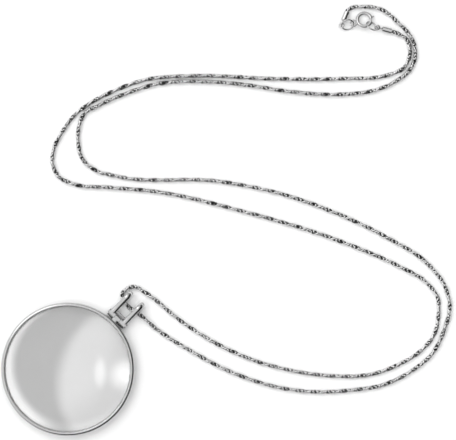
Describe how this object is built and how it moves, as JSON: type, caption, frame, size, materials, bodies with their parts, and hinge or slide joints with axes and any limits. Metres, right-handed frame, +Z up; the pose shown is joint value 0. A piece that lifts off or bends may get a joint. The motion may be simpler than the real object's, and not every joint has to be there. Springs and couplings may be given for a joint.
{
  "type": "magnifier pendant necklace",
  "caption": "Round reading magnifier in a polished metal rim, hinged to a wide two-hoop bail on a long rope chain with a spring-ring clasp, lying flat in loose curves.",
  "frame": {"origin": "on the floor under the middle of the whole outline of the necklace as it lies", "axes": "+Z up, out of the glass's bulging front; +X across the picture's width; +Y up the picture"},
  "size_m": [0.1576, 0.1508, 0.007],
  "materials": {
    "silver": "polished silver-coloured plate",
    "chain": "polished rope links, darker between the turns",
    "glass": "clear polished glass"
  },
  "bodies": {
    "necklace": {"chain_outer": "chain", "chain_inner": "chain", "bail": "silver", "hinge_pin": "silver", "end_cap_left": "silver", "end_cap_right": "silver", "jump_ring_left": "silver", "jump_ring_right": "silver", "clasp_ring": "silver"},
    "pendant": {"rim": "silver", "lens": "glass"},
    "clasp_lever": {"clasp_bolt": "silver"}
  },
  "joints": [
    {"name": "pendant_hinge", "type": "hinge", "parent": "necklace", "child": "pendant", "pos_m": [-0.0381, -0.0342, 0.0022], "axis": [-0.7145, 0.6997, 0], "range_deg": [-75, 75]},
    {"name": "clasp_slide", "type": "hinge", "parent": "necklace", "child": "clasp_lever", "pos_m": [0.04808, 0.07008, 0.00141], "axis": [-0.0266, 0.2602, 0.9652], "range_deg": [0, 40], "stiffness_Nm_per_rad": 0.001, "springref_deg": -17.19}
  ]
}
